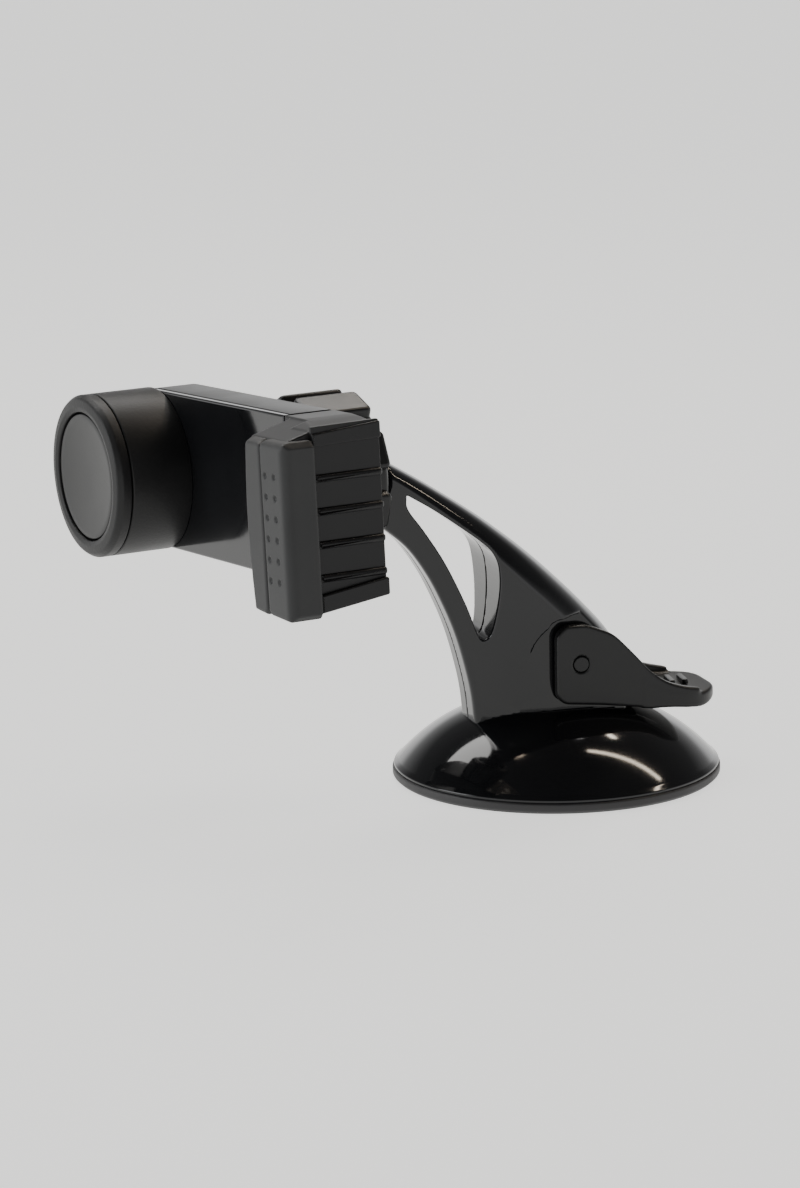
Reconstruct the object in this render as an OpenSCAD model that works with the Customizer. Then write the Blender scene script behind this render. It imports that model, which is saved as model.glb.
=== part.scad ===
// Car phone mount: suction base with a cam lever, a slotted two-shell arm,
// a ball joint with a lock nut, and a one-hand cradle with a sliding jaw.
// Millimetres. Origin at the centre of the suction cup's lower face, +Z up,
// the arm in the XZ plane and the lever's tab towards +X.

/* [Suction base] */
// Radius of the base, at the rim of the rubber cup
base_r = 36; // [32:0.5:40]
// Height of the rubber rim
rim_h = 2.4; // [1.8:0.1:4]
// Height of the dome cover's crown above the floor
dome_h = 16.4; // [14.5:0.1:18]
// Wall of the dome cover
dome_wall = 2.2; // [1.6:0.1:3]

/* [Arm] */
// Half width of the arm at its widest
arm_half_w = 12; // [10.5:0.25:14]
// Half width of the arm along its inner edge
arm_inner_half_w = 5.5; // [4:0.25:8]

/* [Cam lever] */
// Diameter of the lever's pin
pin_d = 3.6; // [2.5:0.1:5]
// Thickness of each cheek of the lever
cheek_t = 2.8; // [2:0.1:4]
// Distance from the pin to the end of the lever's tab
lever_reach = 33.2; // [28:0.2:38]
// Travel of the pull stud when the lever is lifted
stud_travel = 2; // [1:0.1:2.4]

/* [Ball joint] */
// Radius of the ball
ball_r = 8.5; // [7:0.25:9]
// Height of the ball's centre above the floor
ball_z = 69.9; // [60:0.1:80]
// Wall of the lock nut, over its grip lobes
nut_wall = 3.1; // [2.8:0.1:5]
// Number of grip lobes around the lock nut
nut_lobes = 8; // [6:1:10]

/* [Cradle] */
// Height of the cradle's bar
bar_h = 34.8; // [30:0.2:40]
// Thickness of the bar, front to back
bar_t = 11.6; // [10.6:0.1:14]
// Wall of the bar's housing
bar_wall = 1.8; // [1.4:0.1:2.4]
// Radius of the round post
post_r = 17.8; // [16:0.1:20]
// Length of the post in front of the bar
post_len = 17.7; // [14:0.1:24]
// Clear width between post and jaw with the jaw closed
phone_gap = 48.6; // [44:0.2:60]
// Travel of the jaw from closed to open
jaw_travel = 30; // [20:1:32]
// Number of beads along the jaw's ribbed side
jaw_beads = 4; // [3:1:5]
// Travel of the release button
button_travel = 1.6; // [1:0.1:2]

/* [Fits] */
// Gap between moving pieces
gap = 0.3; // [0.3:0.05:0.5]
// Radial clearance of a running fit
fit = 0.05; // [0.03:0.01:0.1]

/* [Hidden] */
$fn = 64;

// Colours
satin_black = [0.10, 0.10, 0.11];
gloss_black = [0.03, 0.03, 0.035];
rubber_black = [0.07, 0.07, 0.07];
grey_plastic = [0.30, 0.31, 0.32];
steel = [0.70, 0.71, 0.72];

// Base
cup_recess = 1.4;              // depth of the cup's hollow at its middle
cup_lip = 6;                   // width of the flat sealing lip
boss_r = 9;                    // rubber boss around the pull stud
boss_h = 7.2;
stud_r = 3;
stud_disc_r = 6;
stud_disc_z = cup_recess + 1.8;
stud_disc_h = 1.6;
dome_seat_r = base_r - 2.6;    // where the cover's skirt sits inside the rim
dome_bore_r = stud_r + 1.2;    // hole in the crown for the stud

// Arm: stations from the ball end to the foot, outer edge and inner edge as [x, z]
tip_gap = ball_r + 3;          // the arm's end stays this far from the ball's centre
arm_outer = [[-41.5, 73.9], [-36, 71], [-27, 65.4], [-16.4, 58.1], [-5.6, 49.3], [5.4, 38.6], [12.3, 30.2], [15, 22], [15.4, 12]];
arm_inner = [[-44.5, 61.6], [-40, 58.2], [-34.6, 53.4], [-30.2, 47], [-27, 40.6], [-24.4, 34.2], [-22.4, 27.4], [-20.8, 20], [-20, 12]];
arm_crown = [3, 3.2, 3.6, 4.4, 5.4, 6.4, 7, 7.2, 7.2];   // depth of the crowned top
arm_taper = [0.58, 0.64, 0.76, 0.9, 1, 1, 1, 1, 1];         // share of the full width
arm_steps = 3;                 // smooth steps between two stations
slot_outline = [[-35.2, 65.6], [-29.4, 62], [-23.7, 57.9], [-19.2, 54.4], [-17, 51.9], [-15.9, 48.6],
    [-15.6, 43], [-16.1, 37], [-16.9, 33.6], [-18.3, 32.6], [-19.6, 34], [-22, 40.4], [-26.5, 49.8],
    [-31.2, 57.3], [-34.8, 62.4]];
core_outline = [[-12.2, 41], [-13.2, 30], [-8.2, 30], [-8.2, 38.6], [2.4, 38.6], [-4.6, 45.4]];
core_half_w = arm_half_w / 2;

// Lever and its pin
pin_x = 1.9;
pin_z = 26.7;
pin_r = pin_d / 2;
tongue_half_w = 9.2;           // half width of the foot between the cheeks
cheek_in = tongue_half_w + gap + 0.1;
cheek_out = cheek_in + cheek_t;
cheek_back = 5.5;              // from the pin to the cheek's back edge
cheek_low = 8.8;               // from the pin down to the cam edge
cheek_top = 8.6;
cheek_corner = 3;
cheek_relief_r = 10.4;         // room for the cheek to swing in the foot
web_x = 17.2;                  // where the lever's web starts, from the origin
tab_z = 17.2;
tab_t = 2.6;
tab_corner = 9.5;
eye_half_w = 3.4;              // the stud's eye, across the arm
eye_gap = 0.4;

// Ball joint, in the cradle's own axes: +X to the back, +Y to the post, +Z up
ball_x = -50.5;
cradle_turn = [-3.2, -0.6, 11.7];
stem_r = 4;
stem_pitch = 31;
stem_len = 16.5;
liner_r = ball_r + 1.3;
seat_r = liner_r + 2.2;
seat_back = 2.5;               // liner and seat end this far behind the ball's centre
collet_back = 4.4;
collet_r = seat_r + 2.4;
collet_slit = 1.2;
nut_bore_r = collet_r + gap;
nut_r = nut_bore_r + nut_wall;
nut_back = 6.5;
nut_lip_t = 1.8;
nut_lip_r = seat_r + 0.4;

// Cradle
bar_back = -liner_r - 0.1;     // the bar's back face, from the ball's centre
bar_front = bar_back - bar_t;
face_t = 1.6;
plate_boss_h = 5;              // the face plate's screw bosses reach this far back
post_y = 40.3;
bar_end_r = bar_h / 2;
jaw_in_y = post_y - post_r - phone_gap;      // the jaw's gripping face
jaw_seam_y = jaw_in_y + 2.7;   // where the jaw's body meets the bar
jaw_out_y = jaw_in_y - 17;     // the jaw's ribbed side
finger_out_y = jaw_out_y - 1.6;
grip_t = 7.8;
finger_front = bar_front - 11.4;
finger_back = bar_front - 3.8;
panel_t = 1.2;                 // thickness of the jaw's ribbed side cover
finger_top = bar_h / 2 - 2.8;
finger_low = -bar_h / 2 - 4;
rack_half_h = bar_h / 4 - 0.7;
rack_front = bar_front + face_t + 4.4;
rack_t = 2.6;
rack_len = post_y + 12.3 - jaw_seam_y;       // long enough for the pawl with the jaw open
spring_z = -5;                 // the jaw's spring lies in a slot of the rack
spring_slot = 4.8;
spring_room = 14.5;            // its length with the jaw closed
peg_y = jaw_seam_y + 14 + spring_room;
rack_root = 11;                // how far the rack reaches into the jaw's body
tooth_pitch = 2.4;
tooth_h = 1.1;
sleeve_t = 1.6;
cap_t = 3.6;
button_r = 13.8;
button_t = 2.2;
button_stem_r = 3;
core_floor_t = 6.2;             // floor of the button's pocket, which stops the button
button_nib_r = 1;
button_nib_h = 1.2;
pawl_half_h = 4;
pawl_z = 2.5;                  // middle of the pawl and the teeth
pawl_t = 1.2;
pawl_gap = 0.4;                // the nose stands this far off the teeth
pawl_pin_r = 0.75;
pawl_arm = 12;                 // from the pivot to the button's stem
pawl_pivot_y = post_y - pawl_arm;
pawl_tip_y = pawl_pivot_y - 7.5;
pawl_x = rack_front - 2.5;
button_stem_len = post_len + pawl_x - pawl_t / 2 - gap - button_nib_h - bar_front - button_t;
screw_r = 1.3;
screw_head_r = 2.4;
screw_head_t = 1.6;

// ---------- helpers ----------

// Catmull-Rom point between p1 and p2
function spline(p0, p1, p2, p3, t) =
    0.5 * (2 * p1 + (p2 - p0) * t + (2 * p0 - 5 * p1 + 4 * p2 - p3) * t * t
    + (3 * p1 - p0 - 3 * p2 + p3) * t * t * t);
function pick(v, i) = v[max(0, min(len(v) - 1, i))];
function smooth(v, steps) = [
    for (i = [0 : len(v) - 2], k = [0 : steps - 1])
        spline(pick(v, i - 1), v[i], v[i + 1], pick(v, i + 2), k / steps),
    v[len(v) - 1]
];

// Stack of rings, all with the same number of points, closed at both ends
module loft(rings) {
    n = len(rings[0]);
    m = len(rings);
    polyhedron(
        points = [for (r = rings) each r],
        faces = concat(
            [[for (k = [n - 1 : -1 : 0]) k]],
            [for (i = [0 : m - 2], k = [0 : n - 1])
                each [[i * n + k, i * n + (k + 1) % n, (i + 1) * n + (k + 1) % n],
                    [i * n + k, (i + 1) * n + (k + 1) % n, (i + 1) * n + k]]],
            [[for (k = [0 : n - 1]) (m - 1) * n + k]]
        ),
        convexity = 8
    );
}

// Round wire wound along Z, as a closed tube
module coil(r, wire_r, pitch, turns, sides = 6, steps = 12) {
    count = turns * steps;
    loft([for (i = [0 : count])
        let (a = 360 * i / steps, z = pitch * i / steps)
        [for (k = [0 : sides - 1])
            let (b = 360 * k / sides, rr = r + wire_r * cos(b))
            [rr * cos(a), rr * sin(a), z + wire_r * sin(b)]]]);
}

// A tube, bored right through
module tube(r_out, r_in, h) {
    difference() {
        cylinder(r = r_out, h = h);
        translate([0, 0, -1]) cylinder(r = r_in, h = h + 2);
    }
}

// Slab in the XZ plane, between two Y values
module side_slab(y0, y1) {
    translate([0, y1, 0]) rotate([90, 0, 0]) linear_extrude(y1 - y0) children();
}

// The cradle's own axes, centred on the ball
module in_cradle() {
    translate([ball_x, 0, ball_z]) rotate(cradle_turn) children();
}

// Cylinder along the cradle's X axis, from x0 to x1
module along_x(r, x0, x1) {
    translate([x0, 0, 0]) rotate([0, 90, 0]) cylinder(r = r, h = x1 - x0);
}

module block(x0, x1, y0, y1, z0, z1) {
    translate([x0, y0, z0]) cube([x1 - x0, y1 - y0, z1 - z0]);
}

// Cap screw with its head's top at z = 0, pointing down
module screw(length) {
    difference() {
        union() {
            translate([0, 0, -screw_head_t]) cylinder(r = screw_head_r, h = screw_head_t);
            translate([0, 0, -screw_head_t - length]) cylinder(r = screw_r, h = length + 0.1);
        }
        translate([0, 0, -0.9]) cylinder(r = 1.1, h = 2, $fn = 6);
    }
}

// Room for a screw: its head and its shank
module screw_room(length, above = 10) {
    translate([0, 0, -screw_head_t]) cylinder(r = screw_head_r + 0.1, h = screw_head_t + above);
    translate([0, 0, -screw_head_t - length]) cylinder(r = screw_r, h = length + 1);
}

// ---------- suction base ----------

// The dome's profile by radius: a crown that rolls over into the skirt
function dome_z(r) = rim_h + (dome_h - rim_h) * (1 - pow(r / base_r, 3));

module dome_profile() {
    steps = 14;
    polygon(concat(
        [[0, rim_h]],
        [for (i = [steps : -1 : 0]) let (r = base_r * sin(90 * i / steps)) [r, dome_z(r)]]
    ));
}

module dome_solid() {
    rotate_extrude($fn = 96) dome_profile();
}

// The stud's clearance through the dome and the arm's foot
module stud_channel(z0, z1) {
    block(pin_x - cheek_back - 1.5, pin_x + cheek_back + 1.5, -eye_half_w - eye_gap, eye_half_w + eye_gap, z0, z1);
}

module suction_cup() {
    color(rubber_black) difference() {
        union() {
            cylinder(r = base_r, h = rim_h, $fn = 96);
            cylinder(r = dome_seat_r - dome_wall, h = rim_h + 1.2, $fn = 96);
            cylinder(r = boss_r, h = boss_h);
        }
        // hollow underside, deepest at the middle
        translate([0, 0, -0.01]) cylinder(r1 = base_r - cup_lip, r2 = boss_r, h = cup_recess);
        // pocket for the moulded-in stud
        translate([0, 0, stud_disc_z]) cylinder(r = stud_disc_r + fit, h = stud_disc_h + fit);
        translate([0, 0, stud_disc_z]) cylinder(r = stud_r + fit, h = boss_h);
    }
}

module dome_cover() {
    color(gloss_black) difference() {
        dome_solid();
        // hollow inside, following the crown one wall lower
        translate([0, 0, -dome_wall]) intersection() {
            dome_solid();
            translate([0, 0, rim_h - 1]) cylinder(r = dome_seat_r, h = dome_h);
        }
        translate([0, 0, rim_h]) cylinder(r = dome_bore_r, h = dome_h);
        for_foot_screws() cylinder(r = screw_r + 0.2, h = 20);
    }
}

module pull_stud() {
    color(steel) union() {
        translate([0, 0, stud_disc_z]) cylinder(r = stud_disc_r, h = stud_disc_h);
        translate([0, 0, stud_disc_z]) cylinder(r = stud_r, h = pin_z - 6 - stud_disc_z);
        // eye around the lever's pin
        difference() {
            block(-stud_r, pin_x + 4.6, -eye_half_w, eye_half_w, pin_z - 7, pin_z + 4.6);
            side_slab(-eye_half_w - 1, eye_half_w + 1) translate([pin_x, pin_z]) circle(r = pin_r);
        }
    }
}

// ---------- arm ----------

// One section of a half arm: from the outer edge, over the crown, down the side to the inner edge
function arm_ring(o, i, crown, share) =
    let (
        d = i - o,
        depth = norm(d),
        u = d / depth,
        w = arm_half_w * share,
        wi = min(arm_inner_half_w, w - 1),
        outline = concat(
            [[0, 0]],
            [for (a = [18 : 18 : 90]) [crown * (1 - cos(a)), w * sin(a)]],
            [[depth * 0.6, w + (wi - w) * 0.45], [depth - 1.6, wi], [depth - 0.5, wi - 1.4], [depth, 0]]
        )
    )
    [for (p = outline) [o[0] + u[0] * p[0], p[1], o[1] + u[1] * p[0]]];

// The solid half arm on +Y
module arm_half() {
    o = smooth(arm_outer, arm_steps);
    i = smooth(arm_inner, arm_steps);
    c = smooth(arm_crown, arm_steps);
    t = smooth(arm_taper, arm_steps);
    loft([for (k = [0 : len(o) - 1]) arm_ring(o[k], i[k], c[k], min(t[k], 1))]);
}

module for_arm_screws() {
    for (p = [[-13.2, 24.4], [-10.6, 46.6]]) translate([p[0], 0, p[1]]) children();
}

// Places of the screws that come up through the dome, at the foot of their heads
module for_foot_screws() {
    for (p = [[-13.5, 3.6], [11.3, 5.4]], s = [-1, 1])
        translate([p[0], s * p[1], dome_z(norm(p)) - dome_wall - screw_head_t - 0.7]) children();
}

// Room that the cheeks, the pin and the stud need in the foot
module foot_room() {
    for (s = [-1, 1]) scale([1, s, 1]) side_slab(tongue_half_w, arm_half_w + 3) {
        translate([pin_x, pin_z]) circle(r = cheek_relief_r);
        translate([pin_x - cheek_back - 2, 8]) square([30, pin_z - 8]);
        translate([pin_x - cheek_back - 2, pin_z]) square([cheek_back + 2, 7.6]);
        translate([pin_x, pin_z]) square([30, cheek_relief_r]);
    }
    stud_channel(8, pin_z + 6);
    // slot for the pin, which drops with the stud
    side_slab(-arm_half_w, arm_half_w) {
        for (z = [0, -stud_travel - 0.4]) translate([pin_x, pin_z + z]) circle(r = pin_r + gap);
        translate([pin_x - pin_r - gap, pin_z - stud_travel - 0.4]) square([2 * (pin_r + gap), stud_travel + 0.4]);
    }
}

module arm_shell(side) {
    color(gloss_black) difference() {
        mirror([0, side < 0 ? 1 : 0, 0]) arm_half();
        // clear of the ball joint and seated on the dome
        in_ball_plane() cylinder(r = tip_gap, h = 60, center = true);
        dome_solid();
        block(-60, 60, -60, 60, -5, rim_h + 4);
        side_slab(-20, 20) polygon(slot_outline);
        side_slab(-core_half_w, core_half_w) polygon(core_outline);
        foot_room();
        ball_stem(stem_r);
        for_arm_screws() rotate([-90, 0, 0]) cylinder(r = screw_r, h = 14, center = true);
        if (side > 0) for_arm_screws() translate([0, 5.4, 0]) rotate([-90, 0, 0]) cylinder(r = screw_head_r + 0.1, h = 12);
        for_foot_screws() cylinder(r = screw_r, h = screw_head_t + 9);
    }
}

module in_ball_plane() {
    translate([ball_x, 0, ball_z]) rotate([90, 0, 0]) children();
}

module arm_left_shell() {
    arm_shell(-1);
}

module arm_right_shell() {
    arm_shell(1);
}

module arm_screws() {
    color(steel) for_arm_screws() translate([0, 5.4 + screw_head_t, 0]) rotate([-90, 0, 0]) screw(10);
}

module foot_screws() {
    color(steel) for_foot_screws() rotate([180, 0, 0]) screw(9);
}

// ---------- cam lever ----------

module lever_pin() {
    color(steel) side_slab(-cheek_out, cheek_out) translate([pin_x, pin_z]) circle(r = pin_r);
}

// Side view of the lever: cam edge, back, rounded top and the long sweep down to the tab
module lever_side() {
    difference() {
        union() {
            translate([pin_x - cheek_back + cheek_corner, pin_z - cheek_low + cheek_corner]) circle(r = cheek_corner);
            translate([pin_x - cheek_back + cheek_corner, pin_z + cheek_top - cheek_corner - 0.4]) circle(r = cheek_corner);
            polygon(concat(
                [[pin_x - cheek_back, pin_z - cheek_low + cheek_corner], [pin_x - cheek_back, pin_z + cheek_top - cheek_corner],
                    [pin_x - cheek_back + cheek_corner - 0.6, pin_z + cheek_top - 0.5]],
                smooth([[pin_x - 1.6, pin_z + cheek_top], [6, 34.4], [9.4, 33], [12.2, 30], [15.2, 26.8], [18.2, 23.6],
                    [21.6, 21.2], [25.4, 19.8], [29.6, 18.9]], 2),
                [[29.6, tab_z - 1.4], [24.6, 16.2], [18, 15.6], [6.4, 17.4], [5.2, pin_z - cheek_low],
                    [pin_x - cheek_back + cheek_corner, pin_z - cheek_low]]
            ));
        }
    }
}

// Plan of the tab, with its round end
module tab_plan(inset = 0) {
    end = pin_x + lever_reach - inset;
    w = cheek_out - inset;
    hull() {
        for (s = [-1, 1]) translate([end - tab_corner, s * (w - tab_corner)]) circle(r = tab_corner, $fn = 32);
        translate([web_x - 4, -w]) square([1, 2 * w]);
    }
}

module cam_lever() {
    color(satin_black) difference() {
        intersection() {
            union() {
                for (s = [-1, 1]) scale([1, s, 1]) side_slab(cheek_in, cheek_out) lever_side();
                // web and tab, dished between the two cheeks
                side_slab(-cheek_out + 0.1, cheek_out - 0.1) polygon([[web_x, 21.4], [21, 19.2], [25.4, 18], [29.6, 17.4],
                    [pin_x + lever_reach, 17.9], [pin_x + lever_reach, 15.6], [29.6, 14.6], [24.6, 15.4], [web_x, 15.8]]);
                // ridges under the thumb
                for (i = [0 : 2]) translate([22.6 + 3.1 * i, -3.6 + 0.5 * i, 18.6 - 0.45 * i]) rotate([-90, 0, 0])
                    cylinder(r = 0.7, h = 7.2 - i, $fn = 24);
            }
            union() {
                linear_extrude(60) tab_plan();
                block(-20, web_x + 2, -cheek_out, cheek_out, 0, 60);
            }
        }
        side_slab(-cheek_out - 1, cheek_out + 1) translate([pin_x, pin_z]) circle(r = pin_r + fit);
    }
}

// ---------- ball joint ----------

module ball_stem(r) {
    translate([ball_x, 0, ball_z]) rotate([0, 90 + stem_pitch, 0]) cylinder(r = r, h = stem_len);
}

module ball_stud() {
    color(satin_black) union() {
        translate([ball_x, 0, ball_z]) sphere(r = ball_r);
        ball_stem(stem_r);
    }
}

// Shell between two concentric spheres, open to the back
module ball_shell(r_out, r_in) {
    difference() {
        sphere(r = r_out);
        sphere(r = r_in);
        along_x(r_out + 1, seat_back, r_out + 1);
    }
}

module ball_liner() {
    color(grey_plastic) in_cradle() ball_shell(liner_r, ball_r + fit);
}

module ball_seat() {
    color(grey_plastic) in_cradle() difference() {
        along_x(seat_r, bar_back + 0.6, seat_back);
        sphere(r = liner_r + fit);
        along_x(liner_r + fit, 0, seat_back + 1);
    }
}

module lock_nut() {
    color(satin_black) in_cradle() difference() {
        union() {
            along_x(nut_r - 1.8, bar_back + gap, nut_back);
            for (i = [0 : nut_lobes - 1]) rotate([360 * (i + 0.5) / nut_lobes, 0, 0]) intersection() {
                along_x(nut_r, bar_back + gap + 0.6, nut_back - 0.6);
                block(bar_back + gap + 0.6, nut_back - 0.6, -4.1, 4.1, nut_r - 5, nut_r + 1);
            }
        }
        along_x(nut_bore_r, bar_back, nut_back - nut_lip_t);
        along_x(nut_lip_r, bar_back, nut_back + 1);
    }
}

// ---------- cradle: bar ----------

// The bar's front view: square at the jaw, round at the post
module bar_view(inset = 0) {
    translate([post_y, 0]) circle(r = bar_end_r - inset);
    translate([jaw_seam_y + inset, -bar_h / 2 + inset]) square([post_y - jaw_seam_y - inset, bar_h - 2 * inset]);
}

// Extrudes a view drawn in the cradle's YZ plane from x0 to x1
module from_view(x0, x1) {
    translate([x0, 0, 0]) rotate([90, 0, 90]) linear_extrude(x1 - x0) children();
}

module for_housing_screws() {
    z = bar_h / 2 - 5.1;
    for (p = [[post_y - 2, z], [post_y - 2, -z], [jaw_seam_y + 5.4, z], [jaw_seam_y + 5.4, -z]])
        translate([bar_back, p[0], p[1]]) rotate([0, 90, 0]) children();
}

module bar_housing() {
    color(satin_black) in_cradle() difference() {
        union() {
            difference() {
                from_view(bar_front + face_t, bar_back) bar_view();
                from_view(bar_front, bar_back - bar_wall) bar_view(bar_wall);
            }
            // bosses for the four screws
            intersection() {
                for_housing_screws() translate([0, 0, plate_boss_h - bar_t + 0.1]) cylinder(r = 3.2, h = bar_t - plate_boss_h - 1);
                from_view(bar_front + face_t, bar_back) bar_view();
            }
            // threaded collet around the ball seat
            along_x(collet_r, bar_back - 1, collet_back);
            // guides above and below the rack
            for (s = [-1, 1]) scale([1, 1, s]) block(rack_front - 1, bar_back - 1, jaw_seam_y + 10, pawl_tip_y - 1, rack_half_h + gap, rack_half_h + 2);
            // peg that the jaw's spring pushes against
            block(rack_front - 0.6, bar_back - 1, peg_y, peg_y + 2, spring_z - 1.7, spring_z + 1.7);
        }
        // room for the ball's liner
        sphere(r = liner_r + gap);
        along_x(seat_r + fit, bar_back + 0.6 - fit, collet_back + 1);
        for (a = [0, 60, 120]) rotate([a + 30, 0, 0]) block(bar_back + 2, collet_back + 1, -20, 20, -collet_slit / 2, collet_slit / 2);
        // mouth for the rack and the jaw
        block(rack_front - gap, rack_front + rack_t + gap, jaw_seam_y - 1, jaw_seam_y + bar_wall + 1,
            -rack_half_h - gap, rack_half_h + gap);
        for_housing_screws() screw_room(8);
    }
}

module bar_face_plate() {
    color(gloss_black) in_cradle() difference() {
        union() {
            from_view(bar_front, bar_front + face_t) bar_view();
            for_housing_screws() translate([0, 0, -bar_t]) cylinder(r = 2.8, h = plate_boss_h);
        }
        for_housing_screws() translate([0, 0, face_t - bar_t]) cylinder(r = screw_r, h = plate_boss_h);
        // pass for the release button's stem and the post's screws
        translate([0, post_y, 0]) along_x(button_stem_r + 1.2, bar_front - 1, bar_front + face_t + 1);
        for_post_screws() cylinder(r = screw_r + 0.2, h = 10, center = true);
    }
}

module for_post_screws() {
    for (a = [-70 : 70 : 70]) translate([bar_front, post_y + 11 * cos(a), 11 * sin(a)]) rotate([0, 90, 0]) children();
}

module housing_screws() {
    color(steel) in_cradle() {
        for_housing_screws() screw(7.6);
        for_post_screws() translate([0, 0, face_t + screw_head_t + 0.05]) screw(5.5);
    }
}

// ---------- cradle: post and release button ----------

module post_core() {
    color(satin_black) in_cradle() translate([0, post_y, 0]) difference() {
        along_x(post_r - sleeve_t, bar_front - post_len + cap_t, bar_front);
        along_x(post_r - sleeve_t - 2, bar_front - post_len, bar_front - core_floor_t);
        along_x(button_stem_r + fit, bar_front - post_len, bar_front + 1);
        translate([0, -post_y, 0]) for_post_screws() cylinder(r = screw_r, h = 12, center = true);
    }
}

module post_sleeve() {
    color(rubber_black) in_cradle() translate([0, post_y, 0]) difference() {
        along_x(post_r, bar_front - post_len + cap_t, bar_front);
        along_x(post_r - sleeve_t, bar_front - post_len, bar_front + 1);
    }
}

module post_cap_ring() {
    color(satin_black) in_cradle() translate([bar_front - post_len, post_y, 0]) rotate([0, 90, 0])
        rotate_extrude() difference() {
            hull() {
                translate([button_r + gap, 0]) square([1, cap_t]);
                translate([post_r - 1, 1]) circle(r = 1, $fn = 32);
                translate([post_r - 1, cap_t - 0.5]) square([1, 0.5]);
            }
            translate([0, -1]) square([button_r + gap, cap_t + 2]);
        }
}

module release_button() {
    color(satin_black) in_cradle() translate([bar_front - post_len, post_y, 0]) rotate([0, 90, 0]) union() {
        rotate_extrude() difference() {
            translate([0, 0.5]) square([button_r, button_t]);
            // slightly dished face
            translate([0, -58.9]) circle(r = 60, $fn = 360);
        }
        // guide skirt and stem
        translate([0, 0, button_t]) tube(button_r - 1, button_r - 2.2,
            post_len - core_floor_t - button_t - button_travel - fit);
        translate([0, 0, button_t]) cylinder(r = button_stem_r, h = button_stem_len);
        translate([0, 0, button_t]) cylinder(r = button_nib_r, h = button_stem_len + button_nib_h);
    }
}

module button_spring() {
    color(steel) in_cradle() translate([bar_front - post_len + 3.6, post_y, 0]) rotate([0, 90, 0])
        coil(6, 0.45, 1.5, 5);
}

module pawl() {
    color(grey_plastic) in_cradle() difference() {
        union() {
            // beam from behind the button's stem to the nose over the rack
            block(pawl_x - pawl_t / 2, pawl_x + pawl_t / 2, pawl_tip_y, post_y + 1, pawl_z - pawl_half_h, pawl_z + pawl_half_h);
            block(pawl_x, rack_front - pawl_gap, pawl_tip_y, pawl_tip_y + 1.2, pawl_z - pawl_half_h, pawl_z + pawl_half_h);
            translate([pawl_x, pawl_pivot_y, pawl_z]) cylinder(r = pawl_pin_r + 0.75, h = 2 * pawl_half_h, center = true);
        }
        translate([pawl_x, pawl_pivot_y, 0]) cylinder(r = pawl_pin_r + fit, h = 20, center = true);
    }
}

module pawl_pin() {
    color(steel) in_cradle() translate([pawl_x, pawl_pivot_y, 0])
        cylinder(r = pawl_pin_r, h = bar_h - 2 * bar_wall, center = true);
}

// Torsion spring around the pawl's pin, below the pawl
module pawl_spring() {
    color(steel) in_cradle() translate([pawl_x, pawl_pivot_y, pawl_z - pawl_half_h - 4.4])
        coil(pawl_pin_r + 0.5, 0.25, 0.8, 5, steps = 10);
}

// ---------- cradle: jaw ----------

module for_jaw_screws() {
    for (z = [-4.4, 4.4]) translate([bar_back, jaw_seam_y - 7.4, z]) rotate([0, 90, 0]) children();
}

module jaw_rack() {
    color(grey_plastic) in_cradle() difference() {
        block(rack_front, rack_front + rack_t, jaw_seam_y - rack_root, jaw_seam_y + rack_len, -rack_half_h, rack_half_h);
        for_jaw_screws() cylinder(r = screw_r, h = 12, center = true);
        // slot for the jaw's spring and its peg
        block(rack_front - 1, rack_front + rack_t + 1, jaw_seam_y + 14, peg_y + jaw_travel + 3,
            spring_z - spring_slot / 2, spring_z + spring_slot / 2);
        // ratchet teeth along the front
        for (y = [jaw_seam_y + 12 : tooth_pitch : jaw_seam_y + rack_len - 2])
            from_top(pawl_z - pawl_half_h - 0.6, pawl_z + pawl_half_h + 0.6)
                polygon([[rack_front - 0.1, y], [rack_front + tooth_h, y], [rack_front - 0.1, y + tooth_pitch - 0.3]]);
    }
}

// Extrudes a view drawn in the cradle's XY plane from z0 to z1
module from_top(z0, z1) {
    translate([0, 0, z0]) linear_extrude(z1 - z0) children();
}

// The jaw's plan: the body behind, sweeping forward into the finger
module jaw_plan() {
    polygon([[bar_back, jaw_seam_y - 0.2], [bar_front, jaw_seam_y - 0.2], [bar_front, jaw_in_y - grip_t],
        [finger_back, jaw_in_y - grip_t], [finger_back, jaw_out_y + panel_t], [bar_back, jaw_out_y + panel_t]]);
}

module jaw_body() {
    color(satin_black) in_cradle() difference() {
        from_top(-bar_h / 2, bar_h / 2) jaw_plan();
        // hollow behind the ribbed side
        difference() {
            block(bar_front + 2, bar_back - bar_wall, jaw_out_y, jaw_seam_y - 3.2, -bar_h / 2 + bar_wall, bar_h / 2 - bar_wall);
            for_jaw_screws() translate([0, 0, rack_front + rack_t - bar_back]) cylinder(r = 3.4, h = 6);
        }
        block(rack_front, rack_front + rack_t, jaw_seam_y - 3.3, jaw_seam_y + 1, -rack_half_h, rack_half_h);
        for_jaw_screws() screw_room(5);
    }
}

module jaw_side_cover() {
    low = -18.8;
    color(satin_black) in_cradle() union() {
        // flat panel, lower at the front
        translate([0, jaw_out_y + panel_t, 0]) rotate([90, 0, 0]) linear_extrude(panel_t)
            polygon([[bar_back + 0.2, low], [bar_back + 0.2, bar_h / 2], [finger_back, bar_h / 2],
                [finger_back, low - 2]]);
        // rounded beads along it
        for (i = [0 : jaw_beads - 1]) translate([finger_back, jaw_out_y + 0.1, 6.5 - i * 6.8]) rotate([0, 90, 0])
            cylinder(r = 0.8, h = bar_back - finger_back - 1.6, $fn = 24);
        // lips along the top and the bottom
        block(finger_back, bar_back + 0.2, jaw_out_y - 0.6, jaw_out_y + 0.1, 13.6, bar_h / 2);
        translate([0, jaw_out_y + 0.1, 0]) rotate([90, 0, 0]) linear_extrude(0.9)
            polygon([[bar_back + 0.2, low], [bar_back + 0.2, low + 3.6], [finger_back, low + 1.4],
                [finger_back, low - 2]]);
    }
}

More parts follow.
